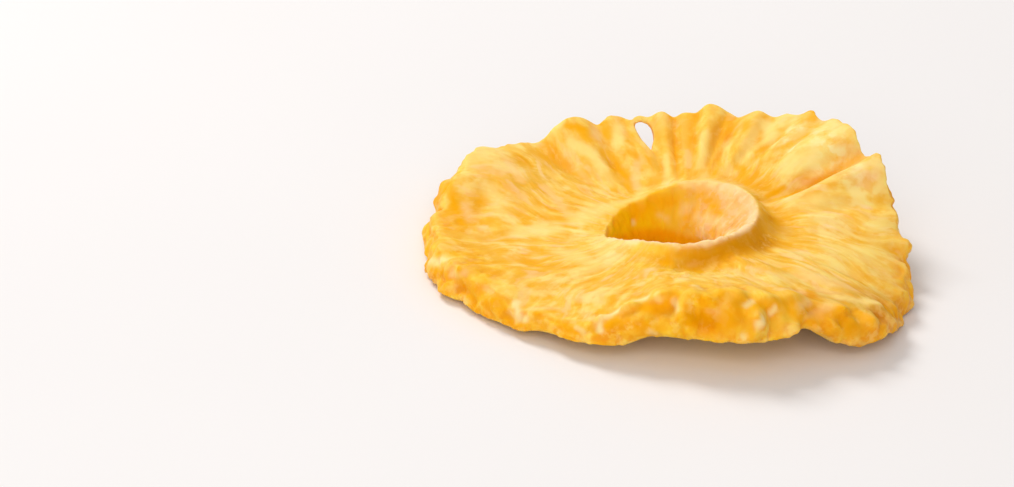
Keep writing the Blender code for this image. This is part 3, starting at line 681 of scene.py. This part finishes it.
def detailed(mesh):
    """Adds the fine relief, and says of each point where on the slice it is."""
    points = read(mesh.vertices, "co", 3).astype(float)
    normals = read(mesh.vertices, "normal", 3).astype(float)
    edges = read(mesh.edges, "vertices", 2)
    angle, radius = polar(points)
    height = points[:, 2].copy()
    outward = spokes(angle, radius) * (1, 1, 0)
    facing = (normals * outward).sum(axis=1)
    by_hole = 1 - eased(HOLE_SIDE_FROM, HOLE_SIDE_BY, radius)
    core = eased(0.1, 0.6, -facing) * by_hole
    rim = rim_radius(angle, radius)
    band = eased(0, 1, 1 - (rim - radius) / BAND_REACH) * eased(0.1, 0.75, facing)
    worn = np.max([np.exp(-apart(angle, radius, *place)) for place in WORN], axis=0)
    band = np.maximum(band, WORN_STRENGTH * worn * eased(0, 0.3, normals[:, 2]))
    face = 1 - np.maximum(core, band)
    lip = lip_strength(angle, radius, normals[:, 2])

    flat = points * (1, 1, 0)
    sway = angle + SLOW_SWAY * noises(flat / SLOW_SWAY_SIZE)
    sway += QUICK_SWAY * noises(flat / QUICK_SWAY_SIZE + 5)
    leaning = np.exp(-apart(angle, radius, *SWIRL))
    sway += leaning * SWIRL_TURN * (radius / MM - SWIRL[1])
    spoke = spokes(sway, radius)
    near = noises(spoke * (FIBRES_NEAR, FIBRES_NEAR, 1 / FIBRE_RUN))
    far = noises(spoke * (FIBRES_FAR, FIBRES_FAR, 1 / FIBRE_RUN))
    fibre = near + (far - near) * eased(SPLIT_FROM, SPLIT_BY, radius)
    bundle = noises(spoke * (BUNDLE_CELLS, BUNDLE_CELLS, 1 / BUNDLE_RUN))
    uneven = 0.25 + 0.75 * eased(-0.3, 0.4, noises(points / UNEVEN_SIZE))
    lumps, pit, pit_edge = edge_relief(points, angle)
    patch_relief, amber = patched(angle, radius, height)
    edge = torn(points)

    start = eased(0, FIBRE_START, radius - around(LIP_RADIUS, angle) * MM)
    relief = face * start * uneven * (FIBRE_RELIEF * fibre + BUNDLE_RELIEF * bundle)
    relief += face * WRINKLE_RELIEF * noises(points / WRINKLE_SIZE)
    relief += band * lumps + (band + core) * patch_relief
    grain = noises(points / GRAIN_SIZE)
    relief += (core * GRAIN_RELIEF + band * CHIP_RELIEF) * grain
    relief += core * SLOT_SWELL * eased(SLOT_TOP, 0, height)
    relief += lip * CRUMB_RELIEF * noises(points / CRUMB_SIZE)
    relief += TORN_RELIEF * edge
    points += normals * relief[:, None]
    points[:, 2] = np.maximum(points[:, 2], 0)
    mesh.vertices.foreach_set("co", points.astype(np.float32).ravel())
    mesh.update()

    normals = read(mesh.vertices, "normal", 3).astype(float)
    close = averaged(points, edges, HOLLOW_ROUNDS)
    broad = averaged(close, edges, VALLEY_ROUNDS)
    hollow_shade_and_crest_light = ((close - points) * normals).sum(axis=1)
    valley_shade_and_crest_light = ((broad - points) * normals).sum(axis=1) * eased(VALLEY_FROM, VALLEY_BY, radius)
    for place, share in CALMED_VALLEY_SHADE:
        valley_shade_and_crest_light *= 1 - share * np.exp(-apart(angle, radius, *place))
    write(mesh, "lip", lip)
    write(mesh, "band", band)
    write(mesh, "core", core)
    # painted deep shade low on the hole's wall
    write(mesh, "slot_painted_shade", by_hole * eased(SLOT_TOP, SLOT_SHADE_FOOT, height))
    # these two carry painted shade for the hollows and valleys, and painted light for the
    # crests
    write(mesh, "hollow_shade_and_crest_light", np.clip(0.5 + hollow_shade_and_crest_light / HOLLOW_DEPTH, 0, 1))
    write(mesh, "valley_shade_and_crest_light", np.clip(0.5 + valley_shade_and_crest_light / VALLEY_DEPTH, 0, 1))
    write(mesh, "fibre", np.clip(0.5 + fibre * face * uneven, 0, 1))
    write(mesh, "pit_edge", pit_edge * band)
    patched_amber = np.clip(amber, 0, 1) * (band + core)
    patched_pale = np.clip(-amber, 0, 1) * (band + core)
    write(mesh, "amber", np.maximum(patched_amber, PIT_AMBER * pit * band))
    write(mesh, "pale", np.maximum(patched_pale, edge))
    write(mesh, "vein", veined(points) * face * eased(0, 0.3, normals[:, 2]))
    write(mesh, "flap", np.exp(-(apart(angle, radius, *FLAP) ** 2)) * face)
    ragged = 1 + MARK_RAGGEDNESS * noises(points / MARK_GRAIN)
    for name, _, marks in MARKS:
        write(mesh, name, marked(points, marks, ragged))
    write_vector(mesh, "spoke", spoke)
    write_vector(mesh, "tint_and_painted_shade", tinted_and_shaded(angle, radius))


def write(mesh, name, values):
    """Keeps one number for each point under a name that the material reads."""
    kept = mesh.attributes.new(name, "FLOAT", "POINT")
    kept.data.foreach_set("value", values.astype(np.float32))


def write_vector(mesh, name, values):
    """Keeps three numbers for each point under a name that the material reads."""
    kept = mesh.attributes.new(name, "FLOAT_VECTOR", "POINT")
    kept.data.foreach_set("vector", values.astype(np.float32).ravel())


class Nodes:
    """Short words for the nodes of one material."""

    def __init__(self, material):
        material.use_nodes = True
        self.tree = material.node_tree
        self.shader = self.tree.nodes["Principled BSDF"]

    def node(self, kind, **settings):
        made = self.tree.nodes.new(kind)
        for name, value in settings.items():
            setattr(made, name, value)
        return made

    def join(self, source, target):
        self.tree.links.new(source, target)

    def feed(self, target, value):
        if isinstance(value, bpy.types.NodeSocket):
            self.join(value, target)
        else:
            target.default_value = value

    def maths(self, operation, *values, clamp=False):
        made = self.node("ShaderNodeMath", operation=operation, use_clamp=clamp)
        for target, value in zip(made.inputs, values):
            self.feed(target, value)
        return made.outputs[0]

    def times(self, first, second):
        return self.maths("MULTIPLY", first, second)

    def plus(self, first, second):
        return self.maths("ADD", first, second)

    def vector(self, operation, *values):
        made = self.node("ShaderNodeVectorMath", operation=operation)
        for target, value in zip(made.inputs, values):
            self.feed(target, value)
        return made.outputs["Vector"]

    def number(self, name):
        return self.node("ShaderNodeAttribute", attribute_name=name).outputs["Fac"]

    def three(self, name):
        return self.node("ShaderNodeAttribute", attribute_name=name).outputs["Vector"]

    def noise(self, place, scale, detail=3, roughness=0.6):
        made = self.node("ShaderNodeTexNoise")
        self.feed(made.inputs["Vector"], place)
        made.inputs["Scale"].default_value = scale
        made.inputs["Detail"].default_value = detail
        made.inputs["Roughness"].default_value = roughness
        return made.outputs["Fac"]

    def ramp(self, factor, *stops):
        made = self.node("ShaderNodeValToRGB")
        band = made.color_ramp
        while len(band.elements) < len(stops):
            band.elements.new(0.5)
        for element, (place, colour) in zip(band.elements, stops):
            element.position = place
            element.color = (*colour, 1)
        self.feed(made.inputs["Fac"], factor)
        return made.outputs["Color"]

    def mix(self, factor, first, second, blend="MIX"):
        made = self.node("ShaderNodeMix", data_type="RGBA", blend_type=blend)
        self.feed(made.inputs["Factor"], factor)
        for letter, value in (("A", first), ("B", second)):
            colours = [i for i in made.inputs if i.name == letter and i.type == "RGBA"]
            if not isinstance(value, bpy.types.NodeSocket):
                value = (*value, 1)
            self.feed(colours[0], value)
        return [o for o in made.outputs if o.type == "RGBA"][0]

    def between(self, value, low, high):
        made = self.node("ShaderNodeMapRange", interpolation_type="SMOOTHSTEP")
        self.feed(made.inputs["Value"], value)
        made.inputs["From Min"].default_value = low
        made.inputs["From Max"].default_value = high
        return made.outputs["Result"]


def fibrous(n, streak, blush, patches, lumps):
    """The colour of the faces: streaks of gold, with painted shade deeper in the valleys and
    hollows, and painted light paler on the crests.
    """
    flesh = n.ramp(
        streak,
        (0.33, (0.84, 0.37, 0.015)),
        (0.45, (0.92, 0.46, 0.035)),
        (0.55, (0.98, 0.57, 0.085)),
        (0.67, (1, 0.71, 0.2)),
    )
    flesh = n.mix(n.times(n.between(patches, 0.5, 0.64), 0.6), flesh, PALE_GOLD)
    flesh = n.mix(n.times(n.between(patches, 0.48, 0.36), 0.6), flesh, (0.89, 0.43, 0.03))
    flesh = n.mix(n.times(n.between(blush, 0.53, 0.66), 0.55), flesh, (1, 0.6, 0.26))
    blotches = n.ramp(
        lumps,
        (0.38, (0.98, 0.52, 0.07)),
        (0.47, (1, 0.68, 0.18)),
        (0.56, (1, 0.84, 0.42)),
    )
    flesh = n.mix(n.times(n.number("flap"), 0.85), flesh, blotches)
    valley_shade_and_crest_light = n.number("valley_shade_and_crest_light")
    hollow_shade_and_crest_light = n.number("hollow_shade_and_crest_light")
    # painted shade in the valleys and hollows, and painted light on the crests
    flesh = n.mix(n.times(n.between(valley_shade_and_crest_light, 0.54, 0.8), 0.75), flesh, (0.87, 0.39, 0.008))
    flesh = n.mix(n.times(n.between(hollow_shade_and_crest_light, 0.6, 0.9), 0.5), flesh, (0.82, 0.33, 0.004))
    flesh = n.mix(n.times(n.between(valley_shade_and_crest_light, 0.48, 0.25), 0.45), flesh, (1, 0.72, 0.2))
    return n.mix(n.times(n.number("vein"), 0.75), flesh, (0.97, 0.43, 0.012))


def craggy(n, lumps, speckle):
    """The colour of the band: clear amber where it is sunk, with painted shade there too, and
    pale and dry on its chips, with painted light on what stands proud.
    """
    amber = n.ramp(
        lumps,
        (0.36, (0.86, 0.3, 0.001)),
        (0.48, (0.93, 0.39, 0.002)),
        (0.6, (0.98, 0.5, 0.01)),
        (0.72, (1, 0.62, 0.05)),
    )
    # painted shade, together with the real amber, where the band is sunk
    sunk_amber_and_shade = n.times(n.between(n.number("hollow_shade_and_crest_light"), 0.52, 0.85), 0.8)
    amber = n.mix(sunk_amber_and_shade, amber, (0.82, 0.28, 0.001))
    amber = n.mix(n.times(n.number("amber"), 0.85), amber, (0.9, 0.33, 0.001))
    # painted light, together with the real dry chips, where the band stands proud
    proud_chips_and_light = n.times(n.between(n.number("hollow_shade_and_crest_light"), 0.46, 0.2), n.between(speckle, 0.4, 0.68))
    amber = n.mix(n.times(proud_chips_and_light, 0.5), amber, (1, 0.64, 0.09))
    rims = n.times(n.number("pit_edge"), n.between(speckle, 0.38, 0.68))
    amber = n.mix(n.times(rims, 0.45), amber, (1, 0.62, 0.09))
    return n.mix(n.times(n.number("pale"), 0.75), amber, (1, 0.74, 0.3))


def granular(n, across, lumps, grains):
    """The colour of the hole's wall, deep gold at the left and pale and dry at the right, with
    painted deep shade low down in the slot.
    """
    wall = n.mix(n.between(across, -0.5, 0.9), (0.95, 0.52, 0.002), (0.93, 0.48, 0.12))
    flecks = n.times(n.between(grains, 0.46, 0.6), n.between(across, -0.2, 0.7))
    wall = n.mix(n.times(flecks, 0.75), wall, (0.97, 0.57, 0.27))
    wall = n.mix(n.times(n.between(lumps, 0.48, 0.36), 0.6), wall, (0.94, 0.42, 0.002))
    wall = n.mix(n.times(n.number("amber"), 0.85), wall, (0.94, 0.4, 0.002))
    wall = n.mix(n.times(n.number("pale"), 0.7), wall, (1, 0.75, 0.42))
    # painted deep shade low on the hole's wall
    return n.mix(n.number("slot_painted_shade"), wall, (0.9, 0.36, 0))


def flesh_material():
    """Fibrous golden flesh, amber and chipped along the band, grainy in the hole and pale
    and dry along its lip."""
    material = bpy.data.materials.new("dried_flesh_fibres")
    n = Nodes(material)
    place = n.node("ShaderNodeTexCoord").outputs["Object"]
    spoke = n.three("spoke")
    side = n.node("ShaderNodeSeparateXYZ")
    n.join(spoke, side.inputs[0])

    def streaks(count, run, detail):
        return n.noise(n.vector("MULTIPLY", spoke, (count, count, 1 / run)), 1, detail)

    fine = streaks(27, 4.5 * MM, 2)
    broad = streaks(12, 6.5 * MM, 2)
    blush = streaks(15, 5.5 * MM, 2)
    patches = n.noise(place, 1 / (5.5 * MM), 3)
    speckle = n.noise(place, 1 / (1.1 * MM), 3, 0.6)
    grains = n.noise(place, 1 / (1.4 * MM), 3, 0.55)
    lumps = n.noise(place, 1 / (3.2 * MM), 4, 0.55)
    dabs = n.noise(place, 1 / (2.3 * MM), 4, 0.6)
    dashes = streaks(16, 4 * MM, 3)
    band = n.number("band")
    core = n.number("core")

    streak = n.plus(n.times(fine, 0.36), n.times(broad, 0.4))
    streak = n.plus(streak, n.times(n.number("fibre"), 0.24))
    by_lip = n.between(side.outputs["Z"], 19 * MM, 12.5 * MM)
    elsewhere = n.times(n.maths("MAXIMUM", band, by_lip), DASH_SHARE)
    open_face = n.maths("SUBTRACT", DASH_SHARE, elsewhere)
    mottle = n.plus(dabs, n.times(n.maths("SUBTRACT", dashes, dabs), open_face))
    streak = n.plus(streak, n.times(n.times(n.maths("SUBTRACT", 0.53, streak), by_lip), 0.8))
    flesh = fibrous(n, streak, blush, patches, lumps)
    flesh = n.mix(n.times(band, 0.9), flesh, craggy(n, lumps, grains))
    # the tints multiply in painted shade round the collar, at the right front and in a back
    # recess
    flesh = n.mix(1, flesh, n.three("tint_and_painted_shade"), "MULTIPLY")
    flesh = n.mix(n.times(n.between(mottle, 0.5, 0.62), 0.3), flesh, PALE_GOLD)
    flesh = n.mix(n.times(n.between(mottle, 0.5, 0.38), 0.5), flesh, (0.91, 0.41, 0.01))
    flesh = n.mix(core, flesh, granular(n, side.outputs["X"], lumps, grains))
    for name, colour, _ in MARKS:
        flesh = n.mix(n.times(n.number(name), MARK_STRENGTH), flesh, colour)
    fluff = n.maths("MULTIPLY", n.number("lip"), n.between(speckle, 0.2, 0.45), clamp=True)
    flesh = n.mix(fluff, flesh, (0.96, 0.67, 0.37))
    n.join(flesh, n.shader.inputs["Base Color"])

    gloss = n.plus(n.times(n.plus(speckle, patches), 0.22), 0.24)
    gloss = n.maths("SUBTRACT", gloss, n.times(band, 0.1))
    n.join(n.plus(gloss, n.times(fluff, 0.3)), n.shader.inputs["Roughness"])
    n.shader.inputs["Metallic"].default_value = 0
    n.shader.inputs["Specular IOR Level"].default_value = SPECULAR
    n.shader.inputs["Subsurface Weight"].default_value = SUBSURFACE_WEIGHT
    n.shader.inputs["Subsurface Radius"].default_value = SUBSURFACE_RADIUS
    n.shader.inputs["Subsurface Scale"].default_value = SUBSURFACE_SCALE

    grainy = n.times(speckle, n.maths("SUBTRACT", 0.45, n.times(band, 0.2)))
    fading = n.maths("SUBTRACT", 0.4, n.times(n.maths("MAXIMUM", band, by_lip), 0.35))
    streaky = n.times(fine, fading)
    bump = n.node("ShaderNodeBump")
    bump.inputs["Strength"].default_value = BUMP_STRENGTH
    bump.inputs["Distance"].default_value = BUMP_DEPTH
    n.join(n.plus(streaky, grainy), bump.inputs["Height"])
    n.join(bump.outputs["Normal"], n.shader.inputs["Normal"])
    return material


def floor_material():
    """Matt, nearly white, with the faintest unevenness."""
    material = bpy.data.materials.new("pale_floor")
    n = Nodes(material)
    place = n.node("ShaderNodeTexCoord").outputs["Object"]
    shade = n.ramp(
        n.noise(place, 6, 2), (0.3, (0.86, 0.83, 0.815)), (0.7, (0.88, 0.85, 0.835))
    )
    n.join(shade, n.shader.inputs["Base Color"])
    n.shader.inputs["Roughness"].default_value = FLOOR_ROUGHNESS
    n.shader.inputs["Specular IOR Level"].default_value = FLOOR_SPECULAR
    return material


def build_flesh():
    """The ring as it is seen, in place of its solid."""
    mesh = rounded(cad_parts[NODE])
    detailed(mesh)
    mesh.materials.clear()
    mesh.materials.append(flesh_material())
    mesh.shade_smooth()
    flesh = bpy.data.objects.new("flesh", mesh)
    bpy.context.scene.collection.objects.link(flesh)
    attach(flesh, "root")
    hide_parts(NODE)


def build_floor():
    """A plain square under the ring, which isn't part of it."""
    half = FLOOR_HALF
    mesh = bpy.data.meshes.new("floor")
    corners = [(-half, -half, 0), (half, -half, 0), (half, half, 0), (-half, half, 0)]
    mesh.from_pydata(corners, [], [(0, 1, 2, 3)])
    mesh.materials.append(floor_material())
    floor = bpy.data.objects.new("floor", mesh)
    bpy.context.scene.collection.objects.link(floor)


def build_light(name, location, size, power):
    """A soft square light that faces the ring."""
    light = bpy.data.lights.new(name, "AREA")
    light.shape = "SQUARE"
    light.size = size
    light.energy = power
    holder = bpy.data.objects.new(name, light)
    holder.location = location
    holder.rotation_euler = (-Vector(location)).to_track_quat("-Z", "Y").to_euler()
    bpy.context.scene.collection.objects.link(holder)


def build_camera():
    """Looks down at the ring from the photograph's angle, with the photograph's framing."""
    distance = PHOTO_WIDTH / PIXELS_PER_METRE * LENS / SENSOR
    ahead = Vector((0, math.cos(ELEVATION), -math.sin(ELEVATION)))
    level = Vector((1, 0, 0))
    upright = level.cross(ahead)
    right = level * math.cos(ROLL) + upright * math.sin(ROLL)
    up = upright * math.cos(ROLL) - level * math.sin(ROLL)
    hole = HOLE_AXIS + Vector((0, 0, HOLE_HEIGHT))
    across = (HOLE_PIXEL[0] - PHOTO_WIDTH / 2) / PIXELS_PER_METRE
    above = (PHOTO_HEIGHT / 2 - HOLE_PIXEL[1]) / PIXELS_PER_METRE
    centre = hole - right * across - up * above
    camera = bpy.data.cameras.new("camera")
    camera.lens = LENS
    camera.sensor_width = SENSOR
    camera.clip_start = 0.01
    holder = bpy.data.objects.new("camera", camera)
    turn = Matrix((right, up, -ahead)).transposed().to_4x4()
    holder.matrix_world = Matrix.Translation(centre - ahead * distance) @ turn
    bpy.context.scene.collection.objects.link(holder)
    bpy.context.scene.camera = holder


def build_world():
    """A soft white light from all round."""
    world = bpy.data.worlds.new("soft_white")
    world.use_nodes = True
    background = world.node_tree.nodes["Background"]
    background.inputs["Color"].default_value = WORLD_COLOUR
    background.inputs["Strength"].default_value = WORLD_STRENGTH
    bpy.context.scene.world = world


build_camera()
build_flesh()
build_floor()
build_light("key", location=(-0.5, 0.5, 0.75), size=0.4, power=6.2)
build_light("fill", location=(-0.1, -0.85, 0.5), size=0.7, power=4)
build_world()
bpy.context.scene.view_settings.view_transform = "Standard"
